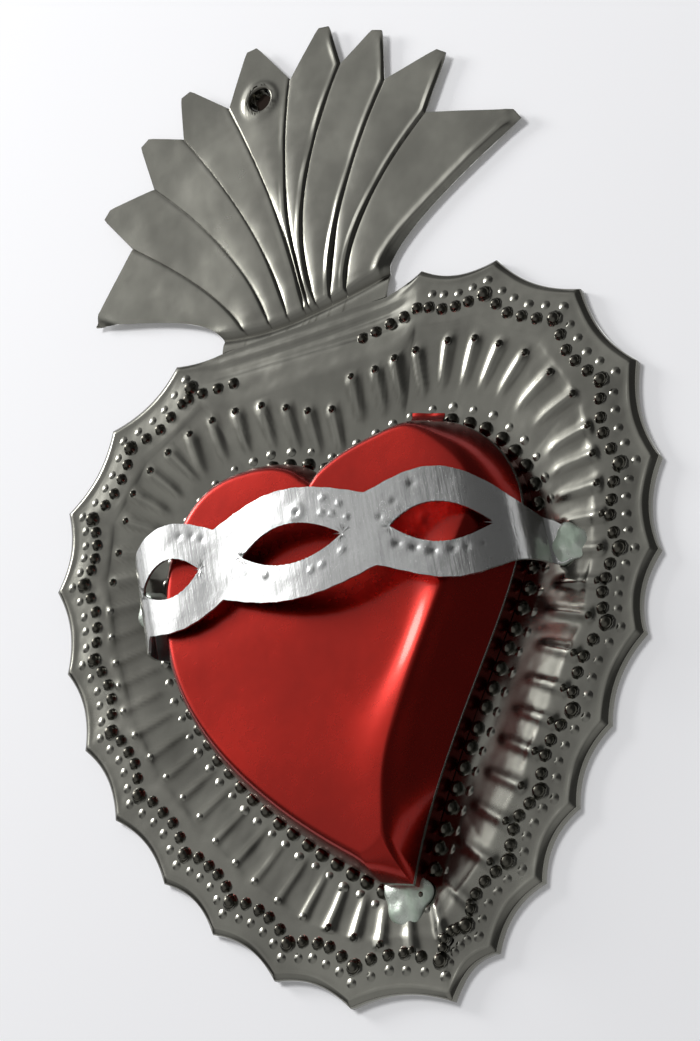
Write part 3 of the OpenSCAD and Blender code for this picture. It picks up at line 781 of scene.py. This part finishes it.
class TINHEART_OT_beads(Operator):
    """Rows of pressed beads along the edge, across the neck and round the heart"""
    bl_idname = "tinheart.beads"
    bl_label = "Beads"

    def execute(self, context):
        settings = context.scene.tinheart_beads
        plate = context.scene.tinheart_plate
        n = settings.per_scallop
        i = np.repeat(np.arange(len(CUSPS) - 1), n)
        t = np.tile(np.arange(n) / n, len(CUSPS) - 1)
        depth = plate.scallop / MM
        large, small = settings.large / MM, settings.small / MM
        main = beside(i, t, settings.inset / MM, depth)
        dots = beside(i, t, settings.small_inset / MM, depth)
        neck = np.vstack([np.linspace(*row) for row in NECK_BEADS])
        line, out = evenly(heart_outline(24), settings.pitch / MM)
        inner = line + out * (large * 0.6 + 0.2)
        outer = line + out * (large / 2 + 3.2)
        tips = FLUTE_STARTS + FLUTE_WAYS * 0.5
        faint = flute_faintness(FLUTE_STARTS) > 0.5
        tips, soft_tips = tips[~faint], tips[faint]
        main_radius = np.where(t == 0, 1.3, 1) * large / 2
        tin = finish("Darkened tin", tin_finish, plate.colour[:])
        plan, _, height, _ = surround_grid(plate)
        rows = [("beads", self.dome, np.vstack([main, neck, inner, tips]),
                 [main_radius, len(neck) * [large / 2], len(inner) * [0.6 * large], len(tips) * [0.3 * large]]),
                ("small_beads", self.bump, np.vstack([outer, dots, soft_tips]),
                 [(len(outer) + len(dots)) * [small / 2], len(soft_tips) * [0.35 * small]])]
        for name, profile, spots, radius in rows:
            wander = np.arange(len(spots))
            spots = spots + 0.12 * np.stack([np.sin(wander * 2.3), np.sin(wander * 3.7)], -1)
            nearest = np.array([((plan - spot) ** 2).sum(-1).argmin() for spot in spots])
            beads = self.domes(name, spots, np.concatenate(radius), height.ravel()[nearest], *profile)
            place(beads, tin, "tin")
        return {"FINISHED"}

    # Profiles as distance out and height, in radii, and painted black reflection: a steep bead with a foot, and
    # a soft bump
    dome = ([1.4, 1.24, 1.1, 1.0, 0.88, 0.66, 0.36, 0.0], [-0.1, 0.02, 0.16, 0.46, 0.76, 1.0, 1.13, 1.17],
            [0, 0, 0.2, 0.7, 1.1, 1.2, 1.2, 1.2])
    bump = ([1.5, 1.2, 0.9, 0.6, 0.3, 0.0], [-0.1, 0.02, 0.12, 0.23, 0.31, 0.33], [0, 0, 0, 0, 0, 0])

    def domes(self, name, spots, radius, base, out, up, painted_dark):
        """A dome a spot: a profile that leaves the sheet level, climbs and rounds over, turned in ten
        steps."""
        out, up = np.array(out), np.array(up)
        angle, way = circle(10)
        ring = out[:, None, None] * way[None]
        plan = spots[:, None, None] + ring[None] * radius[:, None, None, None]
        height = base[:, None, None] + up[None, :, None] * radius[:, None, None] + 0 * plan[..., 0]
        one = grid_faces(len(out), len(angle), wrap=True)
        quads = (np.arange(len(spots))[:, None, None] * len(out) * len(angle) + one[None]).reshape(-1, 4)
        # Painted reflection: the bead domes are made near black, as if they mirrored a black room
        groove = np.array(painted_dark)[None, :, None] + 0 * plan[..., 0]
        return make_mesh(name, stand(plan, height), quads, {"groove": groove})


class TINHEART_OT_heart(Operator):
    """Domed red heart with its bare cut edge and the small tab at its top"""
    bl_idname = "tinheart.heart"
    bl_label = "Red heart"

    # Middle of the bright fold that runs down the right-hand side: across and up the plan
    fold = np.array([(25.6, -86), (25.6, -100), (24.3, -117), (21.5, -124.5), (19, -127), (16.3, -130.5),
                     (13.3, -135), (11.2, -139.7), (8.9, -144.7), (6, -149.4), (3.4, -155.9), (2.2, -161.3),
                     (1.8, -168)])

    def execute(self, context):
        settings = context.scene.tinheart_heart
        lacquer = finish("Red lacquer", lacquer_finish, settings.colour[:])
        place(self.shell(settings), lacquer, "red_lacquer", "red_heart")
        place(self.tabs(settings), lacquer, "red_lacquer")
        return {"FINISHED"}

    def shell(self, settings):
        """Share s of the outline round its middle. Across the fold the face's height is the running sum of
        a gentle climb on its left and of a fall on its right, plus a step, tanh of the distance, that is
        steep where the fold is bright. It drops to the upright edge as 1 less a power of (1 - share), the
        lowest on the right."""
        per = 34
        line = heart_outline(per) - HEART_MIDDLE
        s = np.concatenate([[1, 1, 1, 1, 0.9965, 0.9945], np.sin(np.linspace(1.44, 0, 66))])
        plan = HEART_MIDDLE + s[:, None, None] * line[None]
        x, z = plan[..., 0], plan[..., 1]
        reach = np.abs((line * unit(left(np.roll(line, -1, 0) - np.roll(line, 1, 0)))).sum(1))
        foot = slice(3 * per - 2, 4 * per + 2)
        reach[foot] = np.linspace(reach[foot.start - 1], reach[foot.stop], per + 4)
        reach = sum(np.roll(reach, k) for k in range(-5, 6)) / 11
        inside = (1 - s)[:, None] * reach
        aside = x - np.polyval(np.polyfit(self.fold[:, 1] + 126, self.fold[:, 0], 5), z + 126)
        lobe = smooth((z + 120) / 16)
        steps = np.linspace(-75, 55, 1301)
        climb, fall = 0.038 * (1 - smooth((steps + 3) / 6)), smooth((steps - 1) / 8)
        climb, fall = np.cumsum(climb) * 0.1, np.cumsum(fall) * 0.1
        strong = 0.3 + 0.75 * bell((z + 129) / 9) * (1 - lobe)
        top = settings.rise / MM - 0.6 - 1.3 * lobe + np.interp(aside, steps, climb) - climb[-1]
        top = top - lerp(0.16, 0.1, lobe) * np.interp(aside, steps, fall)
        top = top + 0.55 * (1 - 0.8 * lobe) * (np.tanh(aside / 2.3 * strong) - 1)
        top = top - 0.0016 * np.clip(-138 - z, 0, 40) ** 2 - 0.001 * np.clip(z + 105, 0, 40) ** 2
        edge = settings.edge / MM
        right = smooth((aside + 3) / 9) * (1 - 0.6 * lobe) * (1 - 0.75 * smooth((-146 - z) / 18))
        share = np.clip(inside / lerp(3.6, 10.5, right), 0, 1)
        height = FRONT + edge + (top - edge) * (1 - (1 - share) ** lerp(2.2, 1.45, right))
        height = height + 0.07 * ripple(x, z, 36, 5) * smooth(inside / 8)
        height[:4] = np.array([-1.1, 0.05 + edge, 0.1 + edge, 0.4 + edge])[:, None]
        # Only the cut edge shows bare tin
        bare = np.zeros_like(x)
        bare[2:5] = 1
        return make_mesh("heart_shell", stand(plan, height), grid_faces(*plan.shape[:2], wrap=True),
                         {"bare": bare}, flip=True)

    def tabs(self, settings):
        """Two small folded tabs as mixes of four corners: one from the right lobe's edge to the plate, and
        the squared fold at the tip. Both curl by a sine across."""
        corners = np.array([[(20.2, 1.9, -85.6), (26.7, 1.9, -87.6), (20.8, 0.75, -82.1), (27.2, 0.75, -84.7)],
                            [(-1.2, 3.1, -165.5), (3.6, 3.3, -166), (-1.6, 1.5, -168.6), (5, 1.5, -170.6)]])
        rows, columns = 9, 15
        u, v = np.meshgrid(np.linspace(0, 1, columns), np.linspace(0, 1, rows))
        u, v = u[..., None], v[..., None]
        points, quads = [], []
        for k, (a, b, c, d) in enumerate(corners):
            grid = lerp(lerp(a, b, u), lerp(c, d, u), v)
            grid[..., 1] += 0.25 * np.sin(v[..., 0] * 6) + 0.12 * np.sin(u[..., 0] * 9 + k)
            points.append(grid * (1, -1, 1))
            quads.append(grid_faces(rows, columns, first=k * rows * columns))
        bare = np.zeros(len(corners) * rows * columns)
        piece = make_mesh("heart_tabs", np.array(points), np.concatenate(quads), {"bare": bare}, flip=True)
        thicken(piece, 0.0003)
        return piece


class TINHEART_OT_strip(Operator):
    """Bright cut strip with three eye-shaped openings, stamped dents and its foot on the plate"""
    bl_idname = "tinheart.strip"
    bl_label = "Bright strip"

    left_end, right_end = -40.0, 42.0
    # Distance across and height above the sheet, as shares of the rise where they go with it
    eyes = [(-31.5, 0.62), (-2.2, 0.94), (28, 0.76)]
    # Dents and bumps: across, up the plan, radius, height
    dents = [(-27.5, -93.2, 0.6, -0.2), (-24.7, -94.2, 0.6, -0.2), (-22.5, -95.8, 0.6, -0.2),
             (0.8, -100.3, 1.3, 0.45), (0.8, -100.3, 0.7, -0.6), (6.7, -99.7, 0.5, 0.3), (9.7, -102, 0.5, 0.3),
             (10.8, -105.2, 0.5, 0.3), (5.9, -102.5, 0.5, 0.25), (8.0, -103.4, 0.5, 0.25),
             (-8.4, -109.2, 0.6, 0.2), (1.9, -112.5, 0.5, 0.25), (4.3, -112.3, 0.5, 0.25),
             (8.8, -111, 0.5, 0.25), (24.4, -103.1, 0.7, -0.25), (20.5, -105.3, 0.7, -0.2),
             (17.2, -107.4, 0.6, -0.2),
             (19.7, -113.4, 0.85, -0.35), (22.8, -115.2, 0.95, -0.4), (26.1, -117.0, 0.95, -0.4),
             (29.7, -117.8, 0.75, -0.3), (32.2, -118.3, 0.55, -0.2), (35, -118.4, 0.5, -0.2)]

    def execute(self, context):
        settings = context.scene.tinheart_strip
        bright = finish("Bright strip", bright_finish, settings.colour[:])
        piece = self.strip(settings)
        thicken(piece, settings.thickness, 0)
        place(piece, bright, "bright_tin", "thorn_band")
        burrs = self.burrs(settings)
        thicken(burrs, 0.00012, 0)
        place(burrs, bright, "bright_tin")
        return {"FINISHED"}

    def side_line(self, rise):
        """The strip seen from above, as distance across and height: tab, roll, arch, fall and foot, each a
        curve with its count of points."""
        a, b = self.left_end, self.right_end
        curves = [
            (12, [(a + 2.5, 0.25), (a - 1.6, 0.25)]),
            (6, [(a - 1.6, 0.25), (a - 2.7, 0.25), (a - 2.6, 1.5)]),
            (60, [(a - 2.6, 1.5), (a - 1.2, rise * 0.62), (-34, rise * 0.68), (-24, rise * 0.71)]),
            (90, [(-24, rise * 0.71), (-12, rise * 0.75), (-8, rise), (6, rise)]),
            (60, [(6, rise), (16, rise), (24, rise * 0.96), (31, rise * 0.88)]),
            (60, [(31, rise * 0.88), (38, rise * 0.8), (b - 1, rise * 0.6), (b, 1.2)]),
            (6, [(b, 1.2), (b + 0.3, 0.3), (b + 1.2, 0.25)]),
            (12, [(b + 1.2, 0.25), (b + 5, 0.25)]),
        ]
        return np.concatenate([bezier(points, np.linspace(0, 1, steps)[min(k, 1):])
                               for k, (steps, points) in enumerate(curves)])

    def middle(self, x):
        return -106 - x * np.tan(np.radians(11)) - 2.6 * (x / 42) ** 4

    def half_width(self, x):
        """Half the strip's width: a sine swell over each opening on a straight mix of the widths at the
        notches, and a quarter round at the foot."""
        notches = np.array([-42.5, -19.5, 15, 42, 48])
        widths = np.array([14.5, 14.5, 14.5, 9, 9])
        i = np.clip(np.searchsorted(notches, x, side="right") - 1, 0, 3)
        t = np.clip((x - notches[i]) / (notches[i + 1] - notches[i]), 0, 1)
        base = lerp(widths[i], widths[i + 1], t)
        swell = np.where(i < 3, (22 - base) * np.sin(np.pi * t), 0)
        foot = np.sqrt(np.clip(1 - (np.clip(x - 42.5, 0, None) / 4.55) ** 2, 0.01, 1))
        return (base + swell) / 2 * foot

    def strip(self, settings):
        """Upper and lower halves run from the opening's edge, or the middle line between openings, out to the
        strip's edge. An opening is half its height times (1 - u squared) at share u of its half length."""
        side = self.side_line(settings.rise / MM)
        x, h = side[:, 0], side[:, 1] + FRONT
        out = unit(left(np.gradient(side, axis=0)))
        eye = np.zeros_like(x)
        arch = h > 3
        for middle, share in self.eyes:
            half = settings.eye_length / MM * share / 2
            u = (x - middle) / half
            rough = 1 + 0.012 * np.sin(x * 9) + 0.01 * np.sin(x * 23 + 1)
            eye = np.maximum(eye, np.where(arch, settings.eye_height / MM / 2 * (1 - u * u) * rough, 0))
        eye = np.where(eye > 0.05, eye, 0)
        # Only the lower half has the tab on the plate, from 2.5 mm below the middle line
        eye[:12] = 2.5
        whole = (x, h, eye, out, arch)
        w = np.linspace(0, 1, 21)
        points, quads, fields = [], [], []
        count = 0
        for k, (way, first) in enumerate(((1, 16), (-1, 0))):
            x, h, eye, out, arch = (values[first:] for values in whole)
            flare = 3.4 * smooth((-38.2 - x) / 2) if way < 0 else 0
            edge = self.half_width(x) + flare + 0.05 * np.sin(x * 1.7 + k) + 0.015 * np.sin(x * 5.3)
            z = self.middle(x)[None] + way * lerp(eye[None], edge[None], w[:, None])
            xx = np.broadcast_to(x, z.shape)
            lift = 0.05 * ripple(xx, z, 11, 6) + 0.02 * ripple(xx, z, 5, 9)
            dent_shade = np.zeros_like(z)
            for dx, dz, radius, rise in self.dents:
                away = np.hypot(xx - dx, z - dz) / radius
                lift = lift + np.where(arch, rise * bell(away), 0)
                # Painted shade for the strip's finish: darker in each dent and in a ring round each raised
                # bump's foot
                line = bell((away - 1.2) / 0.4) * 0.6 if rise > 0 else bell(away)
                dent_shade = np.maximum(dent_shade, np.where(arch, line, 0))
            quads.append(grid_faces(*z.shape, first=count)[:, ::way])
            points.append(np.stack([xx + lift * out[:, 0], -h - lift * out[:, 1], z], -1).reshape(-1, 3))
            fields.append(dent_shade.ravel())
            count += z.size
        dents = {"dent": np.concatenate(fields)}
        return make_mesh("strip", np.concatenate(points), np.concatenate(quads), dents)

    def burrs(self, settings):
        """Thin blades at the corners of the openings, where they were cut crosswise: each is a narrow
        triangle that starts in the strip, 1 - share wide, and curls up by the square of the share of its
        length."""
        side = self.side_line(settings.rise / MM)[20:]
        turns = np.radians([62, 88, 115, -65, -92, -118, 20, 170])
        along, across = np.linspace(0, 1, 4)[:, None], np.array([-1, 0, 1.0])[None]
        each = along.size * across.size
        points, quads = [], []
        for middle, share in self.eyes:
            for way in (-1, 1):
                corner = middle + way * settings.eye_length / MM * share / 2
                for k, turn in enumerate(turns):
                    length = 1.5 + 0.5 * np.sin(5 * k + corner)
                    ahead, aside = length * along, 0.16 * across * (1 - along)
                    x = corner + ahead * np.cos(turn) - aside * np.sin(turn)
                    z = self.middle(corner) + ahead * np.sin(turn) + aside * np.cos(turn)
                    h = np.interp(x, side[:, 0], side[:, 1]) + 0.66 + 0.35 * along ** 2 + 0 * across
                    quads.append(grid_faces(*x.shape, first=each * len(points)))
                    points.append(np.stack([x, -h, z], -1))
        dent = np.zeros(each * len(points))
        return make_mesh("strip_burrs", np.array(points), np.concatenate(quads), {"dent": dent})


class TINHEART_OT_solder(Operator):
    """Solder at the heart's tip and under both ends of the strip"""
    bl_idname = "tinheart.solder"
    bl_label = "Solder"

    def execute(self, context):
        solder = finish("Solder", solder_finish, SOLDER)
        pools = [("tip_pool", "tip_solder", (2, -172), 4.75, 1.1, 1),
                 ("left_pool", "left_solder", (-42, -100.4), 3.8, 1.1, 2),
                 ("right_pool", "right_solder", (46, -118.7), 3.8, 1.1, 3)]
        for name, node, spot, radius, height, seed in pools:
            place(self.pool(name, spot, radius, height, seed), solder, "solder", node)
        return {"FINISHED"}

    def pool(self, name, spot, radius, height, seed):
        """Quarter ellipse turned once, with a lobed outline and a lumpy top."""
        rise = np.linspace(0, np.pi / 2, 14)
        angle, way = circle(48)
        lobes = 1 + 0.1 * np.sin(3 * angle + seed) + 0.06 * np.sin(5 * angle + 2 * seed)
        reach = radius * np.cos(rise)[:, None] * lobes
        plan = np.array(spot) + reach[..., None] * way
        lumps = 1 + 0.18 * ripple(plan[..., 0], plan[..., 1], 3.5, seed)
        points = stand(plan, FRONT + height * np.sin(rise)[:, None] * lumps)
        return make_mesh(name, points, grid_faces(*plan.shape[:2], wrap=True))


class TINHEART_OT_stage(Operator):
    """Wall, lights, surroundings and camera"""
    bl_idname = "tinheart.stage"
    bl_label = "Stage"

    # Camera fitted to the photograph: turn, rise and roll in degrees, distance and aim in metres
    turn, rise, roll = 26.47, -24.74, -9.92
    distance, aim = 0.47315, (0.00311, 0.0006, -0.0975)
    photo_height, focal_pixels = 1041, 2500
    # Lamps: direction, distance, side, and whether metal shows them. All look at the point that is lit
    key_way, lit = (-0.72, -0.36, 0.6), (0, 0, -0.09)
    lamps = {"key": (key_way, 0.9, 0.26, True), "wash": ((-0.2, -0.9, 0.38), 0.9, 0.25, False),
             "back": ((-0.3, 0.9, 0.4), 0.9, 0.6, True)}
    # What metal shows in front, overhead, below and behind: direction, cosines where it starts and is full,
    # amount
    room = [((-0.5, -0.72, 0.48), 0.8, 1.0, 0.55), ((-0.3, -0.4, 0.866), 0.74, 1.0, 0.2),
            ((-0.35, -0.75, -0.55), 0.55, 0.95, 0.45), ((0.0, 1.0, 0.0), 0.0, 0.5, 0.5)]

    def execute(self, context):
        settings = context.scene.tinheart_stage
        corners = np.array([(-1600, -1100), (1600, -1100), (1600, 1100), (-1600, 1100)])
        wall = make_mesh("wall", stand(corners, -1.6), np.array([(0, 1, 2, 3)]))
        wall.data.materials.append(finish("Wall", wall_finish, settings.wall[:], settings.glow))
        for name, lamp in self.lamps.items():
            self.lamp(name.capitalize(), getattr(settings, name), *lamp)
        self.surroundings(context, settings)
        self.camera(context)
        context.scene.view_settings.view_transform = "Standard"
        return {"FINISHED"}

    def lamp(self, name, power, way, distance, size, on_metal):
        """Square lamp that looks at the ornament's middle from a direction."""
        light = bpy.data.lights.new(name, "AREA")
        light.shape, light.size, light.energy = "SQUARE", size, power
        lamp = bpy.data.objects.new(name, light)
        lamp.visible_glossy = on_metal
        middle = Vector(self.lit)
        spot = middle + Vector(way).normalized() * distance
        facing = (spot - middle).to_track_quat("Z", "Y").to_matrix().to_4x4()
        lamp.matrix_world = Matrix.Translation(spot) @ facing
        bpy.context.scene.collection.objects.link(lamp)

    def surroundings(self, context, settings):
        """Even light from all round, pale to the camera. Metal shows a room that is pale in front,
        overhead, below and behind, brightest towards the key light, by ramps of the cosine to each
        direction."""
        context.scene.world = bpy.data.worlds.new("Surroundings")
        f = Finish(context.scene.world)
        way = f.node("TexCoord", output="Generated")
        room = f.toward(way, self.key_way, 0.87, 1.0) ** 2 * 2.6 + 0.1
        for direction, low, high, amount in self.room:
            room = room + f.toward(way, direction, low, high) * amount
        metal = f.ray("Is Glossy Ray") + f.ray("Is Transmission Ray")
        plain = f.ray("Is Camera Ray") * (0.9 - settings.around) + settings.around
        strength = plain * (1 - metal) + room * metal
        background = f.node("Background", inputs={"Color": (0.97, 0.98, 1.0), "Strength": strength})
        f.node("OutputWorld", inputs={"Surface": background})

    def camera(self, context):
        """Looks back along the fitted direction, turned about it by the roll."""
        turn, rise, roll = np.radians((self.turn, self.rise, self.roll))
        back = np.array((np.sin(turn) * np.cos(rise), -np.cos(turn) * np.cos(rise), np.sin(rise)))
        right = unit(np.cross((0, 0, 1), back))
        up = np.cross(back, right)
        right, up = (np.cos(roll) * right + np.sin(roll) * up, np.cos(roll) * up - np.sin(roll) * right)
        spot = np.array(self.aim) + back * self.distance
        data = bpy.data.cameras.new("Camera")
        data.sensor_fit, data.sensor_height = "VERTICAL", 36
        data.lens = 36 * self.focal_pixels / self.photo_height
        data.clip_start = 0.01
        camera = bpy.data.objects.new("Camera", data)
        camera.matrix_world = Matrix([[*axes, place] for axes, place in zip(zip(right, up, back), spot)]
                                     + [[0, 0, 0, 1]])
        context.scene.collection.objects.link(camera)
        context.scene.camera = camera


class TINHEART_PT_panel(Panel):
    bl_label = "Tin Heart"
    bl_idname = "TINHEART_PT_panel"
    bl_space_type = "VIEW_3D"
    bl_region_type = "UI"
    bl_category = "Tin Heart"

    def draw(self, context):
        for operator in OPERATORS:
            box = self.layout.box()
            box.operator(operator.bl_idname)
            group = operator.bl_idname.replace(".", "_")
            if group in SETTINGS:
                settings = getattr(context.scene, group)
                for name in SETTINGS[group].__annotations__:
                    box.prop(settings, name)


SETTINGS = {"tinheart_plate": TinPlateSettings, "tinheart_beads": BeadSettings, "tinheart_heart": HeartSettings,
            "tinheart_strip": StripSettings, "tinheart_stage": StageSettings}
OPERATORS = (TINHEART_OT_plate, TINHEART_OT_beads, TINHEART_OT_heart, TINHEART_OT_strip, TINHEART_OT_solder,
             TINHEART_OT_stage)
CLASSES = (*SETTINGS.values(), *OPERATORS, TINHEART_PT_panel)


def register():
    for item in CLASSES:
        bpy.utils.register_class(item)
    for name, group in SETTINGS.items():
        setattr(bpy.types.Scene, name, PointerProperty(type=group))


def unregister():
    for name in SETTINGS:
        delattr(bpy.types.Scene, name)
    for item in reversed(CLASSES):
        bpy.utils.unregister_class(item)


def main():
    register()
    bpy.ops.tinheart.stage()
    bpy.ops.tinheart.plate()
    bpy.ops.tinheart.beads()
    bpy.ops.tinheart.heart()
    bpy.ops.tinheart.strip()
    bpy.ops.tinheart.solder()
    bpy.context.view_layer.update()


if __name__ == "__main__":
    main()
